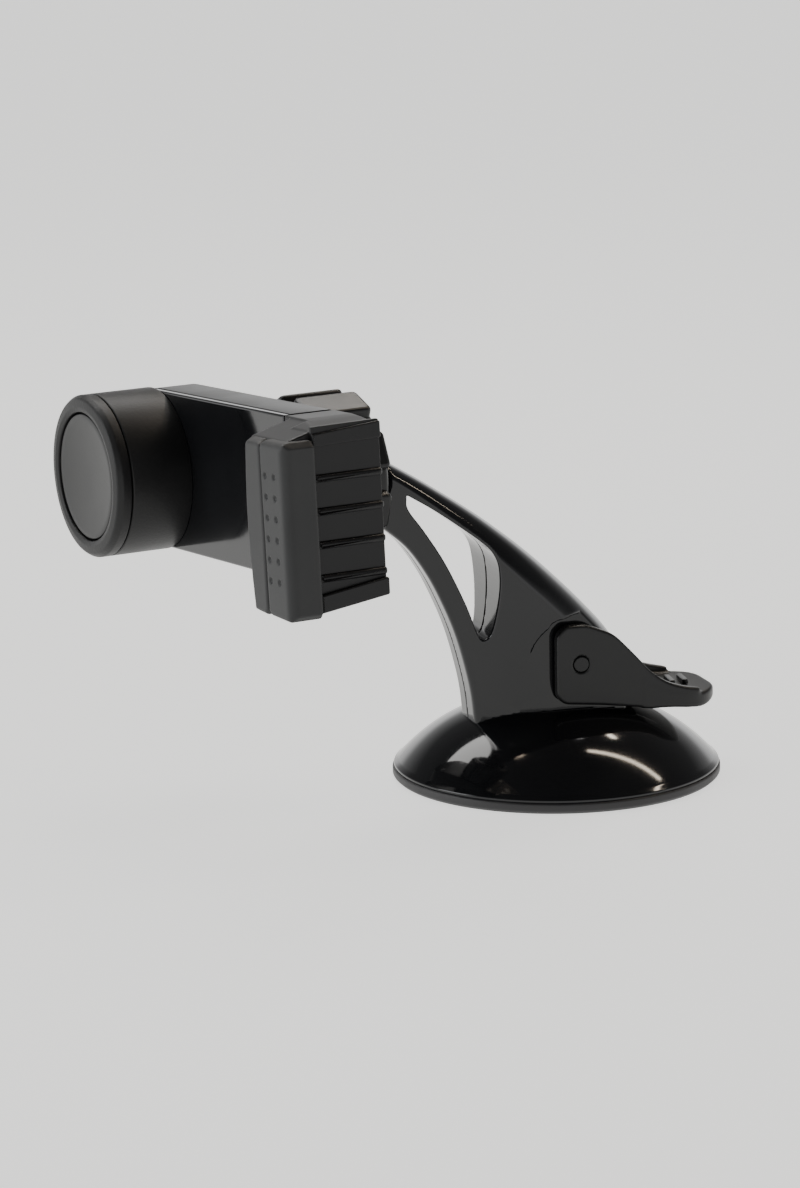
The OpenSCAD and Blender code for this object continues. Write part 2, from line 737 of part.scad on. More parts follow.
// Front view of the finger's end, bowed on the gripping side
module finger_view(y0, y1, bow) {
    h = finger_top - finger_low;
    polygon(concat(
        [[y0, finger_top - 1], [y0 + 1, finger_top], [y1 - 1, finger_top]],
        [for (i = [0 : 8]) [y1 + bow * (sin(180 * i / 8) - 1), finger_top - 1 - (h - 2) * i / 8]],
        [[y1 - 1.5, finger_low], [y0 + 1, finger_low - 0.6], [y0, finger_low + 0.6]]
    ));
}

module jaw_finger() {
    color(rubber_black) in_cradle() difference() {
        from_view(finger_front, finger_back) finger_view(finger_out_y, jaw_in_y - grip_t, 0);
        // rows of shallow dimples
        for (c = [0, 1], r = [0 : 5]) translate([finger_front, jaw_in_y - grip_t - 2.3 - 3.9 * c, 7.4 - 4.3 * r])
            rotate([0, 90, 0]) cylinder(r = 0.7, h = 0.8, center = true, $fn = 16);
    }
}

module jaw_grip_pad() {
    color(rubber_black) in_cradle()
        from_view(finger_front + 0.4, bar_front) finger_view(jaw_in_y - grip_t, jaw_in_y, 1);
}

module jaw_spring() {
    color(steel) in_cradle() translate([rack_front + rack_t / 2, jaw_seam_y + 14.5, spring_z]) rotate([-90, 0, 0])
        coil(1.2, 0.22, (spring_room - 1) / 11, 11, steps = 10);
}

module jaw_screws() {
    color(steel) in_cradle() for_jaw_screws() screw(3.6);
}

suction_cup();
pull_stud();
dome_cover();
arm_left_shell();
arm_right_shell();
arm_screws();
foot_screws();
lever_pin();
cam_lever();
ball_stud();
ball_liner();
ball_seat();
bar_housing();
bar_face_plate();
housing_screws();
lock_nut();
post_core();
post_sleeve();
post_cap_ring();
release_button();
button_spring();
pawl();
pawl_pin();
pawl_spring();
jaw_rack();
jaw_body();
jaw_side_cover();
jaw_finger();
jaw_grip_pad();
jaw_spring();
jaw_screws();
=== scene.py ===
import math

import bpy
import numpy as np
from mathutils import Euler, Matrix, Vector


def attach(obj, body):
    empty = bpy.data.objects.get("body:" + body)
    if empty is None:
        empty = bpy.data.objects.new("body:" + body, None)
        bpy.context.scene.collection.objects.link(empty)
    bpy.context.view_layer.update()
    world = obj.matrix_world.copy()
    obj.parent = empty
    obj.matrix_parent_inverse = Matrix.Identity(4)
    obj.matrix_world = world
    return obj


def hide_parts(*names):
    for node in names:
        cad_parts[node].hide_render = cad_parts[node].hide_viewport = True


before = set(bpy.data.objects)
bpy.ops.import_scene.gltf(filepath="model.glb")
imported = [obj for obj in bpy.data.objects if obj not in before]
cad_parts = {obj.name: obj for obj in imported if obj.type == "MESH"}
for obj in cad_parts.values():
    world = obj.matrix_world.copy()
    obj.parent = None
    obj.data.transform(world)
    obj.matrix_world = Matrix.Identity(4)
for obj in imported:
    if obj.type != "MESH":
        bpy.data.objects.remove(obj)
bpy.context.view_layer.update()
print("frame loaded:", len(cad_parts), "nodes")

mm = 0.001
ballCentre = Vector((-50.5, 0, 69.9))
# the cradle's own axes: +X to the back, +Y to the post, +Z up, centred on the ball
cradleTurn = Euler((math.radians(-3.2), math.radians(-0.6), math.radians(11.7)), "XYZ")
cradlePlace = Matrix.Translation(ballCentre) @ cradleTurn.to_matrix().to_4x4()
straight = Matrix.Identity(4)


# wires and benches for node trees

class Wire:  # a socket that takes part in arithmetic
    def __init__(self, bench, socket):
        self.bench = bench
        self.socket = socket

    def maths(self, operation, first, second):
        return self.bench.node("ShaderNodeMath", {"operation": operation}, {0: first, 1: second})

    def __add__(self, other):
        return self.maths("ADD", self, other)

    def __mul__(self, other):
        return self.maths("MULTIPLY", self, other)

    def __sub__(self, other):
        return self.maths("SUBTRACT", self, other)

    def __rsub__(self, other):
        return self.maths("SUBTRACT", other, self)

    __radd__ = __add__
    __rmul__ = __mul__


class Bench:  # one node tree being wired up
    def __init__(self, tree):
        self.tree = tree
        tree.nodes.clear()

    def node(self, kind, settings=None, values=None, output=0):
        made = self.tree.nodes.new(kind)
        for name, value in (settings or {}).items():
            if name == "stops":
                ramp = made.color_ramp
                while len(ramp.elements) < len(value):
                    ramp.elements.new(0.5)
                for stop, (place, shade) in zip(ramp.elements, value):
                    stop.position = place
                    stop.color = (shade, shade, shade, 1)
            else:
                setattr(made, name, value)
        for name, value in (values or {}).items():
            if isinstance(value, Wire):
                self.tree.links.new(value.socket, made.inputs[name])
            else:
                made.inputs[name].default_value = value
        return Wire(self, made.outputs[output]) if made.outputs else made


# finishes

def finish(name, plastic):
    material = bpy.data.materials.new(name)
    material.use_nodes = True
    bench = Bench(material.node_tree)
    place = bench.node("ShaderNodeTexCoord", output="Object")
    grain = bench.node("ShaderNodeTexNoise", None, {"Vector": place, "Scale": plastic["grainScale"], "Detail": 3.0,
        "Roughness": 0.6})
    cloud = bench.node("ShaderNodeTexNoise", None, {"Vector": place, "Scale": plastic["cloudScale"], "Detail": 4.0,
        "Roughness": 0.55})
    smears = bench.node("ShaderNodeValToRGB", {"stops": [(0.35, 0.0), (0.7, 1.0)]}, {0: cloud})
    dark, light = plastic["dark"], plastic["light"]
    tone = bench.node("ShaderNodeMix", {"data_type": "RGBA"}, {0: smears * 0.7 + grain * 0.3, 6: (*dark, 1), 7: (*light,
        1)}, 2)
    rough = smears * plastic["roughSpread"] + grain * plastic["roughGrain"] + plastic["rough"]
    relief = grain * plastic["grainShare"] + cloud * (1 - plastic["grainShare"])
    if plastic.get("speckle"):  # the spark-eroded skin of a mould
        cells = bench.node("ShaderNodeTexVoronoi", None, {"Vector": place, "Scale": plastic["speckle"]})
        relief = relief + cells * 0.6
    bump = bench.node("ShaderNodeBump", None, {"Strength": plastic["bump"], "Distance": plastic["bumpDepth"] * mm,
        "Height": relief})
    skin = {"Base Color": tone, "Roughness": rough, "Normal": bump, "Metallic": plastic.get("metallic", 0.0),
        "IOR": plastic.get("ior", 1.5)}
    skin = bench.node("ShaderNodeBsdfPrincipled", None, skin)
    bench.node("ShaderNodeOutputMaterial", None, {"Surface": skin})
    return material


finishes = {
    "glossBlack": {"dark": (0.004, 0.0042, 0.0048), "light": (0.007, 0.0074, 0.0084), "rough": 0.05, "roughSpread": 0.05,
        "roughGrain": 0.02, "ior": 1.44, "grainScale": 900, "cloudScale": 45, "grainShare": 0.1, "bump": 0.12, "bumpDepth": 0.05},
    "satinBlack": {"dark": (0.006, 0.0062, 0.0065), "light": (0.011, 0.0112, 0.0115), "rough": 0.30, "roughSpread": 0.06,
        "roughGrain": 0.05, "ior": 1.36, "grainScale": 2600, "cloudScale": 60, "grainShare": 0.8, "bump": 0.25, "bumpDepth": 0.03},
    "jawBlack": {"dark": (0.0035, 0.0035, 0.004), "light": (0.006, 0.006, 0.0065), "rough": 0.28, "roughSpread": 0.08,
        "roughGrain": 0.05, "ior": 1.34, "grainScale": 2200, "cloudScale": 70, "grainShare": 0.7, "bump": 0.2, "bumpDepth": 0.03},
    "softTouch": {"dark": (0.006, 0.006, 0.0062), "light": (0.010, 0.010, 0.0105), "rough": 0.40, "roughSpread": 0.05,
        "roughGrain": 0.08, "ior": 1.34, "grainScale": 1800, "cloudScale": 90, "grainShare": 0.8, "bump": 0.55, "bumpDepth": 0.05, "speckle": 1500},
    "gripRubber": {"dark": (0.016, 0.0165, 0.017), "light": (0.024, 0.0245, 0.025), "rough": 0.46, "roughSpread": 0.06,
        "roughGrain": 0.06, "ior": 1.38, "grainScale": 2400, "cloudScale": 80, "grainShare": 0.8, "bump": 0.3, "bumpDepth": 0.03},
    "rimRubber": {"dark": (0.010, 0.010, 0.011), "light": (0.020, 0.019, 0.020), "rough": 0.45, "roughSpread": 0.12,
        "roughGrain": 0.08, "grainScale": 1500, "cloudScale": 120, "grainShare": 0.6, "bump": 0.3, "bumpDepth": 0.04},
    "greyPlastic": {"dark": (0.16, 0.165, 0.17), "light": (0.22, 0.225, 0.23), "rough": 0.42, "roughSpread": 0.06,
        "roughGrain": 0.05, "grainScale": 2000, "cloudScale": 60, "grainShare": 0.7, "bump": 0.2, "bumpDepth": 0.03},
    "platedSteel": {"dark": (0.46, 0.46, 0.47), "light": (0.62, 0.62, 0.62), "rough": 0.24, "roughSpread": 0.1,
        "roughGrain": 0.1, "grainScale": 1600, "cloudScale": 120, "grainShare": 0.5, "bump": 0.15, "bumpDepth": 0.02, "metallic": 1.0},
}
finishes = {name: finish(name, plastic) for name, plastic in finishes.items()}
print("finishes made:", len(finishes))


# outlines and solids

def rounded(corners, steps=6):  # [a, b, fillet] corners to a smooth closed outline
    points = []
    for i, (a, b, fillet) in enumerate(corners):
        here = np.array((a, b), float)
        back = np.array(corners[i - 1][:2], float) - here
        ahead = np.array(corners[(i + 1) % len(corners)][:2], float) - here
        lengths = np.linalg.norm(back), np.linalg.norm(ahead)
        back, ahead = back / lengths[0], ahead / lengths[1]
        half = math.acos(max(-1, min(1, float(back @ ahead)))) / 2
        if fillet <= 0 or half > 1.55:
            points.append(here)
            continue
        reach = min(fillet / math.tan(half), 0.49 * min(lengths))
        radius = reach * math.tan(half)
        middle = here + (back + ahead) / np.linalg.norm(back + ahead) * radius / math.sin(half)
        start, end = here + back * reach - middle, here + ahead * reach - middle
        for k in range(steps + 1):
            t = k / steps
            span = math.pi - 2 * half
            mix = (math.sin((1 - t) * span) * start + math.sin(t * span) * end) / math.sin(span)
            points.append(middle + mix)
    return np.array(points)


def curve(points, steps):  # Catmull-Rom through the points
    p = np.array(points, float)
    p = np.vstack([2 * p[0] - p[1], p, 2 * p[-1] - p[-2]])
    out = []
    for i in range(1, len(p) - 2):
        for k in range(steps):
            t = k / steps
            out.append(0.5 * (2 * p[i] + (p[i + 1] - p[i - 1]) * t + (2 * p[i - 1] - 5 * p[i] + 4 * p[i + 1] - p[i + 2]) * t * t
                + (3 * p[i] - p[i - 1] - 3 * p[i + 1] + p[i + 2]) * t ** 3))
    return np.array(out + [p[-2]])


def meshOf(name, points, faces, smooth=40):
    mesh = bpy.data.meshes.new(name)
    mesh.from_pydata([tuple(p) for p in points], [], [tuple(f) for f in faces])
    mesh.validate()
    mesh.shade_smooth()
    if smooth:
        mesh.set_sharp_from_angle(angle=math.radians(smooth))
    return mesh


def lathe(name, profile, turns=160, closed=False):
    points, faces, rings = [], [], []
    for r, a in profile:
        if r < 1e-6:
            rings.append([len(points)])
            points.append((0, 0, a))
        else:
            rings.append(list(range(len(points), len(points) + turns)))
            points += [(r * math.cos(2 * math.pi * k / turns), r * math.sin(2 * math.pi * k / turns),
                a) for k in range(turns)]
    pairs = list(zip(rings, rings[1:])) + ([(rings[-1], rings[0])] if closed else [])
    for low, high in pairs:
        for k in range(turns):
            n = (k + 1) % turns
            if len(low) == 1 and len(high) == 1:
                continue
            if len(low) == 1:
                faces.append((low[0], high[n], high[k]))
            elif len(high) == 1:
                faces.append((low[k], low[n], high[0]))
            else:
                faces.append((low[k], low[n], high[n], high[k]))
    return meshOf(name, points, faces)


def prism(name, outline, low, high, edge, edgeLow=None, steps=4):
    outline = np.array(outline, float)
    area = np.sum(outline[:, 0] * np.roll(outline[:, 1], -1) - np.roll(outline[:, 0], -1) * outline[:, 1])
    if area < 0:
        outline = outline[::-1]
    back = outline - np.roll(outline, 1, axis=0)
    ahead = np.roll(outline, -1, axis=0) - outline
    back = back / np.linalg.norm(back, axis=1)[:, None]
    ahead = ahead / np.linalg.norm(ahead, axis=1)[:, None]
    normals = np.stack([back[:, 1] + ahead[:, 1], -back[:, 0] - ahead[:, 0]], axis=1)
    normals = normals / np.maximum(np.sum(normals * np.stack([back[:, 1], -back[:, 0]], axis=1), axis=1), 0.3)[:, None]
    edgeLow = edge if edgeLow is None else edgeLow
    levels = []
    for k in range(steps + 1):
        a = math.pi / 2 * k / steps
        levels.append((edgeLow * (1 - math.sin(a)), low + edgeLow * (1 - math.cos(a))))
    for k in range(steps + 1):
        a = math.pi / 2 * k / steps
        levels.append((edge * (1 - math.cos(a)), high - edge * (1 - math.sin(a))))
    count = len(outline)
    points, faces = [], []
    for inset, level in levels:
        ring = outline - normals * inset
        points += [(a, b, level) for a, b in ring]
    faces.append(tuple(range(count - 1, -1, -1)))
    for i in range(len(levels) - 1):
        for k in range(count):
            n = (k + 1) % count
            faces.append((i * count + k, i * count + n, (i + 1) * count + n, (i + 1) * count + k))
    faces.append(tuple((len(levels) - 1) * count + k for k in range(count)))
    mesh = meshOf(name, points, faces)
    for i in (0, len(faces) - 1):
        mesh.polygons[i].use_smooth = False
    return mesh


# which way a solid drawn along +Z is laid in its own axes
alongX = Matrix(((0, 0, 1, 0), (1, 0, 0, 0), (0, 1, 0, 0), (0, 0, 0, 1)))   # drawn (y, z), grows along +X


def piece(name, meshes, body, finishName, nodes=(), place=straight):
    if not isinstance(meshes, (list, tuple)):
        meshes = [meshes]
    joined = meshes[0]
    thing = bpy.data.objects.new(name, joined)
    bpy.context.scene.collection.objects.link(thing)
    if len(meshes) > 1:
        extras = []
        for mesh in meshes[1:]:
            extra = bpy.data.objects.new(name + "Extra", mesh)
            bpy.context.scene.collection.objects.link(extra)
            extras.append(extra)
        with bpy.context.temp_override(active_object=thing, selected_editable_objects=[thing] + extras):
            bpy.ops.object.join()
    thing.data.transform(Matrix.Diagonal((mm, mm, mm, 1)) @ place)
    thing.data.materials.clear()
    thing.data.materials.append(finishes[finishName])
    thing.data.name = name
    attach(thing, body)
    if nodes:
        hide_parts(*nodes)
    return thing


# fields: solids with soft edges, given by signed distance

def softMax(a, b, blend):  # cut with a filleted edge
    h = np.clip(0.5 - 0.5 * (b - a) / blend, 0, 1)
    return b + (a - b) * h + blend * h * (1 - h)


def softMin(a, b, blend):
    return -softMax(-a, -b, blend)


def outlineField(outline):
    p = np.array(outline, float)
    q = np.roll(p, -1, axis=0)

    def distance(x, z):
        x, z = np.broadcast_arrays(x, z)
        best = np.full(x.shape, 1e9)
        inside = np.zeros(x.shape, bool)
        for (ax, az), (bx, bz) in zip(p, q):
            ex, ez = bx - ax, bz - az
            t = np.clip(((x - ax) * ex + (z - az) * ez) / (ex * ex + ez * ez), 0, 1)
            best = np.minimum(best, (x - ax - t * ex) ** 2 + (z - az - t * ez) ** 2)
            if az != bz:
                inside ^= ((az > z) != (bz > z)) & (x < ex * (z - az) / ez + ax)
        return np.where(inside, -1.0, 1.0) * np.sqrt(best)

    return distance


def boxField(x, y, z, low, high):
    dx = np.maximum(low[0] - x, x - high[0])
    dy = np.maximum(low[1] - y, y - high[1])
    dz = np.maximum(low[2] - z, z - high[2])
    outside = np.sqrt(np.maximum(dx, 0) ** 2 + np.maximum(dy, 0) ** 2 + np.maximum(dz, 0) ** 2)
    return outside + np.minimum(np.maximum(np.maximum(dx, dy), dz), 0)


def skinOf(name, field, low, high, step, eye=None):
    low = np.array(low, float)
    axes = [low[i] + step * np.arange(int((high[i] - low[i]) / step) + 2) for i in range(3)]
    grid = np.broadcast_to(field(axes[0][:, None, None], axes[1][None, :, None], axes[2][None, None, :]),
        [len(a) for a in axes])
    inside = grid < 0
    n = [len(a) - 1 for a in axes]
    total = sum(inside[i:i + n[0], j:j + n[1], k:k + n[2]].astype(np.int8) for i in (0, 1) for j in (0, 1) for k in (0, 1))
    mixed = (total > 0) & (total < 8)
    number = -np.ones(mixed.shape, np.int64)
    number[mixed] = np.arange(int(mixed.sum()))
    cells = np.argwhere(mixed)
    # each cell's point starts at the mean of where its edges cross the surface
    places = np.zeros((len(cells), 3))
    hits = np.zeros(len(cells))
    for axis in range(3):
        others = [i for i in range(3) if i != axis]
        for u in (0, 1):
            for v in (0, 1):
                start = cells.copy()
                start[:, others[0]] += u
                start[:, others[1]] += v
                end = start.copy()
                end[:, axis] += 1
                a, b = grid[tuple(start.T)], grid[tuple(end.T)]
                crossed = (a < 0) != (b < 0)
                t = np.where(crossed, a / np.where(crossed, a - b, 1), 0)
                spot = start.astype(float)
                spot[:, axis] += t
                places += np.where(crossed[:, None], spot, 0)
                hits += crossed
    points = low + places / hits[:, None] * step

    def at(p):
        return np.broadcast_to(field(p[:, 0], p[:, 1], p[:, 2]), len(p))

    def slope(p, reach):
        return np.stack([(at(p + d) - at(p - d)) / (2 * reach) for d in np.eye(3) * reach], axis=1)

    for _ in range(4):
        g = slope(points, step * 0.2)
        move = -at(points)[:, None] * g / np.maximum(np.sum(g * g, axis=1), 0.05)[:, None]
        points += np.clip(move, -0.6 * step, 0.6 * step)
    faces = []
    for axis in range(3):
        others = [i for i in range(3) if i != axis]
        a = np.take(inside, range(n[axis]), axis)
        b = np.take(inside, range(1, n[axis] + 1), axis)
        edges = np.argwhere(a != b)
        edges = edges[(edges[:, others[0]] > 0) & (edges[:, others[1]] > 0) & (edges[:,
            others[0]] < n[others[0]]) & (edges[:, others[1]] < n[others[1]])]
        corners = []
        for du, dv in ((0, 0), (1, 0), (1, 1), (0, 1)):
            cell = edges.copy()
            cell[:, others[0]] -= du
            cell[:, others[1]] -= dv
            corners.append(number[tuple(cell.T)])
        quads = np.stack(corners, axis=1)
        flip = a[tuple(edges.T)] == (axis == 1)
        quads[flip] = quads[flip][:, ::-1]
        faces.append(quads)
    faces = np.concatenate(faces)
    mesh = bpy.data.meshes.new(name)
    mesh.from_pydata(points, [], faces.tolist())
    mesh.validate()
    mesh.shade_smooth()
    normals = slope(points, eye or step * 0.5)
    normals /= np.maximum(np.linalg.norm(normals, axis=1), 1e-9)[:, None]
    if len(mesh.vertices) == len(normals):
        mesh.normals_split_custom_set_from_vertices(normals.tolist())
    print(" ", name, len(faces), "faces")
    return mesh


# geometry node trees

def copiesTree():
    tree = bpy.data.node_groups.new("copies", "GeometryNodeTree")
    for name, kind in (("Piece", "NodeSocketGeometry"), ("Count", "NodeSocketInt"), ("Step", "NodeSocketVector"),
            ("Turn", "NodeSocketVector"), ("Finish", "NodeSocketMaterial")):
        tree.interface.new_socket(name, in_out="INPUT", socket_type=kind)
    tree.interface.new_socket("Copies", in_out="OUTPUT", socket_type="NodeSocketGeometry")
    bench = Bench(tree)
    given = bench.tree.nodes.new("NodeGroupInput")
    inputs = {socket.name: Wire(bench, socket) for socket in given.outputs if socket.name}
    index = bench.node("GeometryNodeInputIndex")
    shift = bench.node("ShaderNodeVectorMath", {"operation": "SCALE"}, {"Vector": inputs["Step"], "Scale": index})
    turn = bench.node("ShaderNodeVectorMath", {"operation": "SCALE"}, {"Vector": inputs["Turn"], "Scale": index})
    turn = bench.node("FunctionNodeEulerToRotation", None, {0: turn})
    dots = bench.node("GeometryNodePoints", None, {"Count": inputs["Count"], "Position": shift})
    copies = bench.node("GeometryNodeInstanceOnPoints", None, {"Points": dots, "Instance": inputs["Piece"],
        "Rotation": turn})
    real = bench.node("GeometryNodeRealizeInstances", None, {0: copies})
    dressed = bench.node("GeometryNodeSetMaterial", None, {"Geometry": real, "Material": inputs["Finish"]})
    bench.node("NodeGroupOutput", None, {0: dressed})
    return tree


def screwTree():
    tree = bpy.data.node_groups.new("screws", "GeometryNodeTree")
    for name, kind in (("Places", "NodeSocketGeometry"), ("Head Radius", "NodeSocketFloat"), ("Head Height",
        "NodeSocketFloat"),
            ("Shank Radius", "NodeSocketFloat"), ("Shank Length", "NodeSocketFloat"), ("Key Radius",
                "NodeSocketFloat"), ("Finish", "NodeSocketMaterial")):
        tree.interface.new_socket(name, in_out="INPUT", socket_type=kind)
    tree.interface.new_socket("Screws", in_out="OUTPUT", socket_type="NodeSocketGeometry")
    bench = Bench(tree)
    given = bench.tree.nodes.new("NodeGroupInput")
    inputs = {socket.name: Wire(bench, socket) for socket in given.outputs if socket.name}
    height, length = inputs["Head Height"], inputs["Shank Length"]

    def rod(radius, depth, middle, sides):
        body = bench.node("GeometryNodeMeshCylinder", None, {"Vertices": sides, "Radius": radius, "Depth": depth})
        place = bench.node("ShaderNodeCombineXYZ", None, {"Z": middle})
        return bench.node("GeometryNodeTransform", None, {"Geometry": body, "Translation": place})

    head = rod(inputs["Head Radius"], height, height * -0.5, 40)
    key = rod(inputs["Key Radius"], height * 1.2, height * -0.1, 6)
    shank = rod(inputs["Shank Radius"], length, height * -1 - length * 0.5, 24)
    cut = bench.node("GeometryNodeMeshBoolean", {"operation": "DIFFERENCE"}, {"Mesh 1": head, "Mesh 2": key})
    both = bench.tree.nodes.new("GeometryNodeJoinGeometry")
    for part in (cut, shank):
        bench.tree.links.new(part.socket, both.inputs[0])
    copies = bench.node("GeometryNodeInstanceOnPoints", None, {"Points": inputs["Places"], "Instance": Wire(bench,
        both.outputs[0])})
    real = bench.node("GeometryNodeRealizeInstances", None, {0: copies})
    dressed = bench.node("GeometryNodeSetMaterial", None, {"Geometry": real, "Material": inputs["Finish"]})
    bench.node("NodeGroupOutput", None, {0: dressed})
    return tree


def grown(mesh, tree, values):  # runs a tree on a mesh and gives back a plain mesh
    thing = bpy.data.objects.new("growing", mesh)
    bpy.context.scene.collection.objects.link(thing)
    modifier = thing.modifiers.new("grow", "NODES")
    modifier.node_group = tree
    named = {item.name: item.identifier for item in tree.interface.items_tree if item.in_out == "INPUT"}
    for name, value in values.items():
        modifier[named[name]] = value
    thing.update_tag()
    bpy.context.view_layer.update()
    result = bpy.data.meshes.new_from_object(thing.evaluated_get(bpy.context.evaluated_depsgraph_get()))
    thing.modifiers.remove(modifier)
    bpy.data.objects.remove(thing)
    return result


copies = copiesTree()
screws = screwTree()


# suction base

base = {"radius": 36, "rimHeight": 2.4, "domeHeight": 16.4, "seatRadius": 33.4}


def domeHeightAt(r):
    return base["rimHeight"] + (base["domeHeight"] - base["rimHeight"]) * (1 - (r / base["radius"]) ** 3)


rimProfile = [(0, 1.4), (9, 1.4), (29.6, 0.06)] + [tuple(p) for p in rounded([(30, 0, 0), (35.2, 0, 0.3), (36, 0.7, 0.6),
    (36, 2.4, 0.5),
    (31.2, 2.4, 0), (31.2, 3.6, 0), (9, 3.6, 0), (9, 7.2, 0)], 4)] + [(0, 7.2)]
piece("cupRubber", lathe("cupRubber", rimProfile, 192), "base", "rimRubber", ["suction_cup"])
domeProfile = [(r, domeHeightAt(r)) for r in np.linspace(0.0, 34.6, 70)]
domeProfile += [tuple(p) for p in rounded([(34.8, domeHeightAt(34.8), 0), (35.78, 3.0, 0.5), (35.6, 2.42, 0.15), (31.6,
    2.42, 0)], 5)]
domeProfile += [(r, domeHeightAt(r) - 2.2) for r in np.linspace(30.5, 0.0, 30)]
piece("domeShell", lathe("domeShell", domeProfile[::-1], 256), "base", "glossBlack", ["dome_cover"])
print("base made")


# arm

arm = {
    "outer": [(-41.5, 73.9), (-36, 71), (-27, 65.4), (-16.4, 58.1), (-5.6, 49.3), (5.4, 38.6), (12.3, 30.2), (15, 22),
        (15.4, 12)],
    "inner": [(-44.5, 61.6), (-40, 58.2), (-34.6, 53.4), (-30.2, 47), (-27, 40.6), (-24.4, 34.2), (-22.4, 27.4), (-20.8,
        20), (-20, 12)],
    "slot": [(-35.2, 65.6), (-29.4, 62), (-23.7, 57.9), (-19.2, 54.4), (-17, 51.9), (-15.9, 48.6), (-15.6, 43), (-16.1, 37),
        (-16.9, 33.6), (-18.3, 32.6), (-19.6, 34), (-22, 40.4), (-26.5, 49.8), (-31.2, 57.3), (-34.8, 62.4)],
    "halfWidth": 12, "innerHalfWidth": 5.5, "crown": (3.0, 7.2), "taper": 0.58, "tipGap": 11.5, "seam": 0.05,
}
lever = {"pinX": 1.9, "pinZ": 26.7, "cheekIn": 9.6, "cheekOut": 12.4, "tongue": 9.2, "swing": 10.8}
outerRun = np.vstack([[(-62, 84.6)], curve(arm["outer"], 10), [(15.6, -10), (-90, -10), (-90, 84.6)]])
innerRun = np.vstack([[(-60, 73.2)], curve(arm["inner"], 10), [(-19.6, -10), (90, -10), (90, 100), (-60, 100)]])
slotRun = curve(arm["slot"] + arm["slot"][:1], 4)[:-1]
belowOuter, aboveInner, slotField = outlineField(outerRun), outlineField(innerRun), outlineField(slotRun)
footRecess = outlineField(rounded([(-5.4, 8, 0), (-5.4, 36.4, 3), (1.9, 37.4, 6), (40, 37.4, 0), (40, 8, 0)]))


def armField(side):
    def field(x, y, z):
        below, above = -belowOuter(x, z), -aboveInner(x, z)
        away = np.sqrt((x - ballCentre.x) ** 2 + (z - ballCentre.z) ** 2)
        along = np.clip((away - 10) / 42, 0, 1)
        along = along * along * (3 - 2 * along)
        crown = arm["crown"][0] + (arm["crown"][1] - arm["crown"][0]) * along
        wide = arm["halfWidth"] * (arm["taper"] + (1 - arm["taper"]) * along)
        share = np.clip((below / np.maximum(below + above, 0.5) - 0.22) / 0.74, 0, 1)
        share = share * share * (3 - 2 * share)
        wide = wide + (np.minimum(arm["innerHalfWidth"], wide - 1) - wide) * share
        across = np.sqrt(np.clip(1 - below / crown, 0, None) ** 2 + (y / wide) ** 2)
        solid = (across - 1) * np.minimum(wide, crown * 1.4)
        solid = softMax(solid, -above, 1.6)
        solid = softMax(solid, arm["tipGap"] - away, 0.8)
        solid = softMax(solid, -slotField(x, z), 0.7)
        swing = np.sqrt((x - lever["pinX"]) ** 2 + (z - lever["pinZ"]) ** 2) - lever["swing"]
        recess = np.maximum(lever["tongue"] - np.abs(y), np.minimum(footRecess(x, z), swing))
        solid = softMax(solid, -recess, 0.5)
        solid = np.maximum(solid, domeHeightAt(np.minimum(np.sqrt(x * x + y * y), 36)) - 0.3 - z)
        stud = boxField(x, y, z, (-5.1, -3.8, 0), (8.9, 3.8, 33))
        solid = softMax(solid, -stud, 0.4)
        return softMax(solid, arm["seam"] - side * y, 0.35)
    return field


for name, node, side in (("armShellNear", "arm_left_shell", -1), ("armShellFar", "arm_right_shell", 1)):
    box = ((-46, -12.6 if side < 0 else -0.8, 12), (16.6, 0.8 if side < 0 else 12.6, 75))
    piece(name, skinOf(name, armField(side), box[0], box[1], 0.42, 0.3), "base", "glossBlack", [node])
print("arm made")


# cam lever

leverSide = outlineField(np.vstack([rounded([(5.2, 17.9, 0), (-3.6, 17.9, 3), (-3.6, 33.4, 3.2), (-1.4, 35.3, 2.0), (2.6,
    35.3, 0)], 8)[1:],
    curve([(3.6, 35.1), (6, 34.2), (9.4, 32.6), (12.2, 30), (15.2, 26.8), (18.2, 23.6), (21.6, 21.2), (25.4, 19.8), (29.6,
        18.9)], 6),
    [(29.6, 15.8), (24.6, 16.2), (18, 15.6), (6.4, 17.2)]]))
webSide = outlineField(np.vstack([curve([(16.2, 21.6), (18.6, 20), (21.6, 18.8), (25.4, 18), (29.6, 17.8), (35.1, 18.2)],
    6),
    [(35.1, 16.0)], curve([(35.1, 15.7), (31, 14.7), (27, 14.9), (22, 15.4), (16.2, 15.9)], 4)]))
tabPlan = outlineField(rounded([(-20, -12.4, 0), (35.1, -12.4, 9.5), (35.1, 12.4, 9.5), (-20, 12.4, 0)], 20))


def leverField(x, y, z):
    side = np.abs(y)
    cheek = softMax(leverSide(x, z), np.maximum(lever["cheekIn"] - side, side - lever["cheekOut"]), 0.7)
    web = softMax(webSide(x, z), side - lever["cheekOut"] + 0.15, 0.5)
    both = softMin(cheek, web, 1.2)
    both = softMax(both, tabPlan(x, y), 0.9)
    pin = np.sqrt((x - lever["pinX"]) ** 2 + (z - lever["pinZ"]) ** 2)
    groove = np.maximum(pin - 2.15, lever["cheekOut"] - 0.35 - side)
    return softMax(softMax(both, -groove, 0.15), 1.85 - pin, 0.1)


